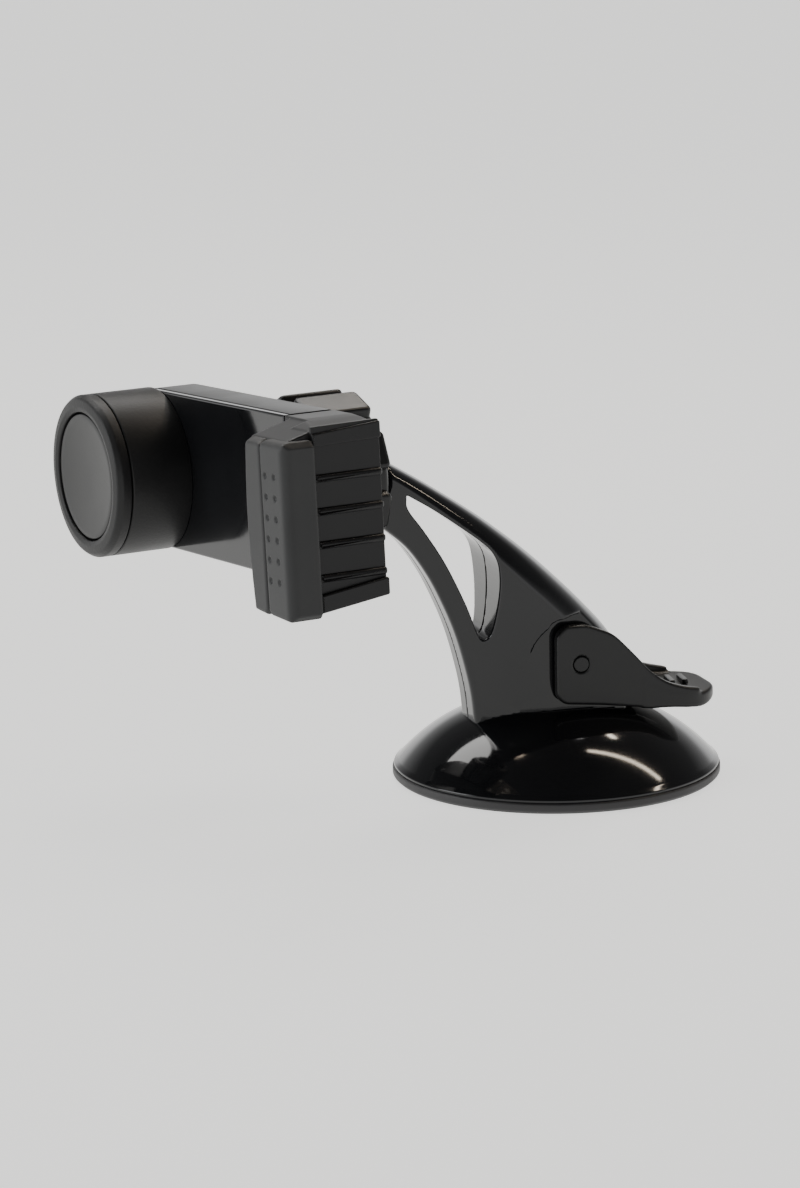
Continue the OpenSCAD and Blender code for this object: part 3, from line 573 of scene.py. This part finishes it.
piece("camLever", skinOf("camLever", leverField, (-4.4, -13, 14), (35.8, 13, 36), 0.36, 0.25), "lever", "satinBlack",
    ["cam_lever"])
ridge = prism("ridge", rounded([(-4.2, -0.65, 0.6), (4.2, -0.65, 0.6), (4.2, 0.65, 0.6), (-4.2, 0.65, 0.6)]), -0.5, 0.55,
    0.35, 0.05)
ridge.transform(Matrix.Translation((23.4, -0.4, 18.55)) @ Euler((0, math.radians(4), math.radians(80)),
    "XYZ").to_matrix().to_4x4())
ridges = grown(ridge, copies, {"Count": 3, "Step": (3.2, 0.5, -0.12), "Turn": (0, 0, 0), "Finish": finishes["satinBlack"]})
piece("thumbRidges", ridges, "lever", "satinBlack")
pinProfile = [(0, -12.2)] + [tuple(p) for p in rounded([(1.2, -12.2, 0), (1.72, -12.2, 0.35), (1.72, 12.2, 0.35), (1.2,
    12.2, 0)], 4)] + [(0, 12.2)]
piece("leverPin", lathe("leverPin", pinProfile, 48), "stud", "satinBlack", ["lever_pin"],
    Matrix.Translation((lever["pinX"], 0, lever["pinZ"])) @ Matrix.Rotation(math.radians(90), 4, "X"))
print("lever made")


# cradle: bar, post and button

bar = {"front": -21.5, "back": -9.9, "face": 1.6, "height": 34.8, "postY": 40.3, "seamY": -23.4}
post = {"radius": 17.8, "length": 17.7, "cap": 3.6, "buttonRadius": 13.8}


def barOutline(inset):
    half = bar["height"] / 2 - inset
    arc = [(bar["postY"] + half * math.cos(a), half * math.sin(a)) for a in np.linspace(-math.pi / 2, math.pi / 2, 73)]
    return np.array([(bar["seamY"] + 0.1, -half)] + [(y, -half) for y in np.linspace(-10, 35, 4)] + arc
        + [(y, half) for y in np.linspace(35, -10, 4)] + [(bar["seamY"] + 0.1, half)])


plate = prism("facePlate", barOutline(0.12), bar["front"], bar["front"] + bar["face"] - 0.06, 0.12, 0.45)
piece("facePlate", plate, "cradle", "glossBlack", ["bar_face_plate"], cradlePlace @ alongX)

shell = prism("housing", barOutline(0), bar["front"] + bar["face"] + 0.06, bar["back"], 1.0, 0.25)
shell.transform(alongX)
mouth = prism("mouth", [(-25, -8.3), (-19, -8.3), (-19, 8.3), (-25, 8.3)], -15.8, -12.6, 0.01)
mouth.transform(alongX)
shellThing = bpy.data.objects.new("housingDraft", shell)
bpy.context.scene.collection.objects.link(shellThing)
cutters = [mouth]
for y in (bar["postY"] - 2, bar["seamY"] + 5.4):
    for z in (12.3, -12.3):
        well = lathe("well", [(0, -1.75), (2.55, -1.75), (2.55, 1), (0, 1)], 40)
        well.transform(Matrix.Translation((bar["back"], y, z)) @ Matrix.Rotation(math.radians(90), 4, "Y"))
        cutters.append(well)
for cutter in cutters:
    tool = bpy.data.objects.new("cutter", cutter)
    bpy.context.scene.collection.objects.link(tool)
    cut = shellThing.modifiers.new("cut", "BOOLEAN")
    cut.operation = "DIFFERENCE"
    cut.object = tool
    bpy.context.view_layer.update()
    result = bpy.data.meshes.new_from_object(shellThing.evaluated_get(bpy.context.evaluated_depsgraph_get()))
    shellThing.modifiers.remove(cut)
    shellThing.data = result
    bpy.data.objects.remove(tool)
shell = shellThing.data
bpy.data.objects.remove(shellThing)
collet = lathe("collet", [tuple(p) for p in rounded([(12.05, bar["back"] - 0.8, 0), (14.4, bar["back"] - 0.8, 0), (14.4,
    4.4, 0.5), (12.05, 4.4, 0.3)], 4)], 96, True)
collet.transform(Matrix.Rotation(math.radians(90), 4, "Y"))
piece("barHousing", [shell, collet], "cradle", "satinBlack", ["bar_housing"], cradlePlace)

toPost = cradlePlace @ Matrix.Translation((bar["front"] - post["length"], bar["postY"],
    0)) @ Matrix.Rotation(math.radians(90), 4, "Y")
sleeve = rounded([(15.9, post["cap"] + 0.1, 0), (17.8, post["cap"] + 0.1, 0.35), (17.8, post["length"] - 0.02, 0.2), (15.9,
    post["length"] - 0.02, 0)], 4)
piece("postSleeve", lathe("postSleeve", sleeve, 192, True), "cradle", "softTouch", ["post_sleeve"], toPost)
ring = rounded([(14.1, 0.3, 0.35), (15.2, 0.0, 1.2), (17.0, 0.25, 1.0), (17.8, 1.4, 0.9), (17.8, 3.45, 0.3), (14.1, 3.45,
    0.0)], 6)
piece("postCapRing", lathe("postCapRing", ring, 192, True), "cradle", "softTouch", ["post_cap_ring"], toPost)
dish = [(0, 1.05)] + [(r, 1.05 - 0.5 * (r / 12.6) ** 2) for r in np.linspace(0.8, 12.6, 24)]
dish += [tuple(p) for p in rounded([(12.9, 0.55, 0), (13.75, 0.6, 0.4), (13.75, 2.6, 0), (3, 2.6, 0), (3, 15.8, 0)],
    5)] + [(0, 15.8)]
piece("releaseDisc", lathe("releaseDisc", dish, 192), "button", "satinBlack", ["release_button"], toPost)
print("cradle made")


# lock nut

nut = {"radius": 17.8, "body": 16.0, "front": -9.5, "back": 6.5, "lip": 12.4, "bore": 14.7, "lobes": 8, "lobeHalf": 4.2}
nutProfile = rounded([(nut["bore"], nut["front"], 0.3), (nut["body"], nut["front"], 0.8), (nut["body"], nut["back"] - 0.2,
    1.4),
    (nut["lip"], nut["back"], 0.6), (nut["lip"], nut["back"] - 1.8, 0.3), (nut["bore"], nut["back"] - 1.8, 0)], 5)
nutBody = lathe("nutBody", nutProfile, 144, True)
nutBody.transform(Matrix.Rotation(math.radians(90), 4, "Y"))
lobe = prism("lobe", rounded([(nut["front"] + 0.5, -nut["lobeHalf"], 1.3), (nut["back"] - 0.5, -nut["lobeHalf"], 1.3),
    (nut["back"] - 0.5, nut["lobeHalf"], 1.3), (nut["front"] + 0.5, nut["lobeHalf"],
        1.3)], 5), nut["body"] - 2.2, nut["radius"] - 0.05, 0.9, 0.05)
lobe.transform(Matrix.Rotation(math.pi / nut["lobes"], 4, "X"))
lobes = grown(lobe, copies, {"Count": nut["lobes"], "Step": (0, 0, 0), "Turn": (2 * math.pi / nut["lobes"], 0, 0),
    "Finish": finishes["satinBlack"]})
piece("lockNut", [nutBody, lobes], "nut", "satinBlack", ["lock_nut"], cradlePlace)
print("nut made")


# jaw

jaw = {"inY": -26.1, "outY": -43.1, "fingerOutY": -44.7, "grip": 7.8, "fingerFront": -32.9, "fingerBack": -25.3,
    "fingerTop": 14.6, "fingerLow": -21.4, "beads": 4, "rows": 6}
grooveY = jaw["inY"] - jaw["grip"]


def roofField(x, y, z):  # the slope from the finger's top up to the bar's top
    slope = (z - jaw["fingerTop"] + 0.2) - (x - jaw["fingerFront"] - 1.6) * 0.26
    solid = boxField(x, y, z, (jaw["fingerFront"] + 2.6, jaw["outY"] + 1.4, 13.6), (bar["front"] + 0.8, bar["seamY"] - 2.9,
        17.2)) - 0.15
    return softMax(solid, slope, 0.5)


def bodyField(x, y, z):
    main = boxField(x, y, z, (bar["front"] + 0.4, jaw["outY"] + 1.6, -17.0), (bar["back"] - 0.4, bar["seamY"] - 0.6,
        17.0)) - 0.4
    neck = boxField(x, y, z, (jaw["fingerBack"] + 0.3, jaw["outY"] + 1.6, -17.0), (bar["back"] - 0.4, grooveY - 0.3,
        17.0)) - 0.3
    solid = softMin(softMin(main, neck, 0.3), roofField(x, y, z), 0.3)
    # the roof falls away to the outer side and to the front
    crease = 17.4 - np.clip(-31.5 - y, 0, None) * 0.10 - z
    front = 17.4 - np.clip(-21.0 - x, 0, None) * 0.30 - z
    solid = softMax(solid, -np.minimum(crease, front), 0.5)
    rack = boxField(x, y, z, (-15.6, bar["seamY"] - 3.4, -8.1), (-12.8, bar["seamY"] + 1, 8.1))
    for s in (-4.4, 4.4):
        well = np.maximum(np.sqrt((y - bar["seamY"] + 7.4) ** 2 + (z - s) ** 2) - 2.5, bar["back"] - 1.7 - x)
        solid = softMax(solid, -well, 0.2)
    return np.maximum(solid, -rack)


def fingerOutline(y0, y1, bow, low):
    top = jaw["fingerTop"]
    run = [(y1 + bow * (math.sin(math.pi * t) - 1) - 0.35 * t * t, top - 1 - (top - low - 2) * t) for t in np.linspace(0, 1,
        17)]
    return np.array(run + [(y1 - 1.6, low), (y0 + 1.0, low - 0.5), (y0, low + 0.6), (y0, top - 1.4), (y0 + 1.2, top),
        (y1 - 1.2, top)])


fingerRun = outlineField(fingerOutline(jaw["fingerOutY"] + 0.05, grooveY - 0.12, 0, jaw["fingerLow"]))
padRun = outlineField(fingerOutline(grooveY + 0.12, jaw["inY"], 1.1, jaw["fingerLow"] + 0.3))


def fingerField(x, y, z):
    solid = softMax(fingerRun(y, z), np.maximum(jaw["fingerFront"] + 0.02 - x, x - jaw["fingerBack"]), 0.9)
    # the outer upright edge and the top are well rounded
    corner = 2.6 - (x - jaw["fingerFront"]), 2.6 - (y - jaw["fingerOutY"])
    bend = np.sqrt(np.clip(corner[0], 0, None) ** 2 + np.clip(corner[1], 0, None) ** 2) - 2.6
    solid = softMax(solid, bend, 0.3)
    corner = 2.2 - (x - jaw["fingerFront"]), 2.2 - (jaw["fingerTop"] - z)
    bend = np.sqrt(np.clip(corner[0], 0, None) ** 2 + np.clip(corner[1], 0, None) ** 2) - 2.2
    solid = softMax(solid, bend, 0.3)
    row = np.clip(np.round((7.4 - z) / 4.3), 0, jaw["rows"] - 1)
    column = np.clip(np.round((grooveY - 2.3 - y) / 3.9), 0, 1)
    dent = np.sqrt((y - grooveY + 2.3 + 3.9 * column) ** 2 + (z - 7.4 + 4.3 * row) ** 2 + ((x - jaw["fingerFront"]) * 1.3) ** 2) - 0.72
    return softMax(solid, -dent, 0.25)


def padField(x, y, z):
    solid = softMax(padRun(y, z), np.maximum(jaw["fingerFront"] + 0.25 - x, x - bar["front"]), 0.9)
    roof = z - jaw["fingerTop"] + np.clip(jaw["fingerFront"] + 2.2 - x, 0, None) * 0.5
    return softMax(solid, roof, 0.8)


piece("jawBody", skinOf("jawBody", bodyField, (-31.5, -44, -18.2), (-9, -23, 18.2), 0.40, 0.2), "jaw", "satinBlack",
    ["jaw_body"], cradlePlace)
piece("jawFinger", skinOf("jawFinger", fingerField, (-33.6, -45.4, -23), (-24.8, -33.2, 15.6), 0.26, 0.15), "jaw",
    "gripRubber", ["jaw_finger"], cradlePlace)
piece("gripPad", skinOf("gripPad", padField, (-33.4, -34.4, -22.6), (-21, -24.6, 15.6), 0.36, 0.2), "jaw", "gripRubber",
    ["jaw_grip_pad"], cradlePlace)
print("jaw tip made")

sidePanel = prism("sidePanel", rounded([(-18.8, -9.9, 0.5), (17.2, -9.9, 0.3), (17.0, -25.3, 0.2), (-20.6, -25.3, 0.2)]),
    41.9, 42.95, 0.15)
sidePanel.transform(Matrix(((0, 1, 0, 0), (0, 0, -1, 0), (1, 0, 0, 0), (0, 0, 0, 1))))
bead = prism("bead", rounded([(-25.3, -0.85, 0.2), (-9.75, -0.85, 0.7), (-9.75, 0.85, 0.7), (-25.3, 0.85, 0.2)]), 42.3,
    43.75, 0.75, 0.05)
bead.transform(Matrix(((1, 0, 0, 0), (0, 0, -1, 0), (0, 1, 0, 6.5), (0, 0, 0, 1))))
beads = grown(bead, copies, {"Count": jaw["beads"], "Step": (0, 0, -6.8), "Turn": (0, 0, 0),
    "Finish": finishes["jawBlack"]})
lipTop = prism("lipTop", rounded([(13.4, -9.8, 0.4), (16.9, -9.8, 0.4), (15.6, -25.3, 0.2), (13.0, -25.3, 0.2)]), 42.3,
    43.6, 0.3)
lipLow = prism("lipLow", rounded([(-18.8, -9.75, 0.5), (-15.1, -9.75, 0.5), (-17.2, -25.3, 0.2), (-20.9, -25.3, 0.2)]),
    42.3, 44.1, 0.35)
for lip in (lipTop, lipLow):
    lip.transform(Matrix(((0, 1, 0, 0), (0, 0, -1, 0), (1, 0, 0, 0), (0, 0, 0, 1))))
piece("jawSide", [sidePanel, beads, lipTop, lipLow], "jaw", "jawBlack", ["jaw_side_cover"], cradlePlace)
print("jaw made")


# screws

screw = {"Head Radius": 2.4, "Head Height": 1.6, "Shank Radius": 1.3, "Key Radius": 1.1}


def screwPiece(name, body, node, places, length, lay, place):
    dots = bpy.data.meshes.new(name + "Places")
    dots.from_pydata(places, [], [])
    made = grown(dots, screws, {**screw, "Shank Length": length, "Finish": finishes["platedSteel"]})
    made.set_sharp_from_angle(angle=math.radians(35))
    made.transform(lay)
    return piece(name, made, body, "platedSteel", [node], place)


towardX = Matrix.Rotation(math.radians(90), 4, "Y")
screwPiece("jawScrews", "jaw", "jaw_screws", [(-z, bar["seamY"] - 7.4, bar["back"]) for z in (-4.4, 4.4)], 3.6, towardX,
    cradlePlace)

# CAD pieces that stay as they are
for node, look in {"pull_stud": "platedSteel", "arm_screws": "platedSteel", "foot_screws": "platedSteel",
    "ball_stud": "satinBlack",
        "ball_liner": "greyPlastic", "ball_seat": "greyPlastic", "housing_screws": "platedSteel", "post_core": "satinBlack", "button_spring": "platedSteel",
        "pawl": "greyPlastic", "pawl_pin": "platedSteel", "pawl_spring": "platedSteel", "jaw_rack": "greyPlastic", "jaw_spring": "platedSteel"}.items():
    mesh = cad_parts[node].data
    mesh.materials.clear()
    mesh.materials.append(finishes[look])
print("screws and inner pieces dressed")


# floor, light and camera

def stageFinish():
    material = bpy.data.materials.new("paper")
    material.use_nodes = True
    bench = Bench(material.node_tree)
    skin = bench.node("ShaderNodeBsdfPrincipled", None, {"Base Color": (0.16, 0.16, 0.158, 1), "Roughness": 0.55,
        "Emission Color": (0.80, 0.80, 0.786, 1), "Emission Strength": 1.5})
    bench.node("ShaderNodeOutputMaterial", None, {"Surface": skin})
    return material


floorMesh = bpy.data.meshes.new("floor")
floorMesh.from_pydata([(-9, -4, 0), (9, -4, 0), (9, 14, 0), (-9, 14, 0)], [], [(0, 1, 2, 3)])
floorMesh.materials.append(stageFinish())
floor = bpy.data.objects.new("floor", floorMesh)
bpy.context.scene.collection.objects.link(floor)

world = bpy.data.worlds.new("studio")
bpy.context.scene.world = world
world.use_nodes = True
sky = Bench(world.node_tree)
direction = sky.node("ShaderNodeTexCoord", output="Generated")
height = sky.node("ShaderNodeSeparateXYZ", None, {0: direction}, 2)
fade = sky.node("ShaderNodeValToRGB", {"stops": [(0.0, 0.82), (0.12, 0.82), (0.22, 0.36), (0.42, 0.08), (1.0, 0.03)]},
    {0: height})
light = sky.node("ShaderNodeBackground", None, {0: fade, 1: 1.8})
sky.node("ShaderNodeOutputWorld", None, {0: light})


def panel(name, side, distance, along, size, power, tint):
    lamp = bpy.data.lights.new(name, "AREA")
    lamp.shape = "RECTANGLE"
    lamp.size, lamp.size_y = size
    lamp.energy = power
    lamp.color = tint
    thing = bpy.data.objects.new(name, lamp)
    away = Vector(side).normalized()  # its long side follows "along", and it faces the base
    run = (Vector(along) - away * away.dot(Vector(along))).normalized()
    turn = Matrix((run, away.cross(run), away)).transposed().to_4x4()
    thing.matrix_world = Matrix.Translation(away * distance + Vector((0, 0, 0.02))) @ turn
    bpy.context.scene.collection.objects.link(thing)
    return thing


panel("overhead", (-0.15, 0.55, 0.82), 0.95, (1, 0, 0), (0.9, 0.35), 7, (1, 0.99, 0.97))
panel("leftWindow", (-0.93, 0.1, 0.34), 0.9, (0, 1, 0), (0.4, 0.5), 3.2, (0.97, 0.99, 1))
panel("rightStrip", (0.52, 0.06, 0.85), 0.85, (0.5, -0.235, -0.29), (0.5, 0.035), 1.6, (1, 0.86, 0.70))
panel("backStrip", (0.38, 0.54, 0.75), 0.85, (0.187, -0.314, 0.133), (0.32, 0.03), 0.9, (1, 0.88, 0.74))
panel("warmSpot", (-0.19, 0.26, 0.95), 0.95, (1, 0, 0), (0.07, 0.05), 0.35, (1, 0.82, 0.62))

view = {"azimuth": -16.5, "elevation": 12.434, "roll": -0.994, "distance": 0.8953, "target": (-0.032316, 0.009573,
    0.040557), "lens": 124.45}
az, el, roll = (math.radians(view[k]) for k in ("azimuth", "elevation", "roll"))
back = Vector((math.sin(az) * math.cos(el), -math.cos(az) * math.cos(el), math.sin(el)))
right = Vector((math.cos(az), math.sin(az), 0))
up = back.cross(right)
turnedRight, turnedUp = right * math.cos(roll) + up * math.sin(roll), up * math.cos(roll) - right * math.sin(roll)
camera = bpy.data.objects.new("camera", bpy.data.cameras.new("camera"))
camera.data.lens = view["lens"]
camera.data.clip_start, camera.data.clip_end = 0.05, 40
place = Matrix((turnedRight, turnedUp, back)).transposed().to_4x4()
place.translation = Vector(view["target"]) + back * view["distance"]
camera.matrix_world = place
bpy.context.scene.collection.objects.link(camera)
bpy.context.scene.camera = camera
print("stage set")
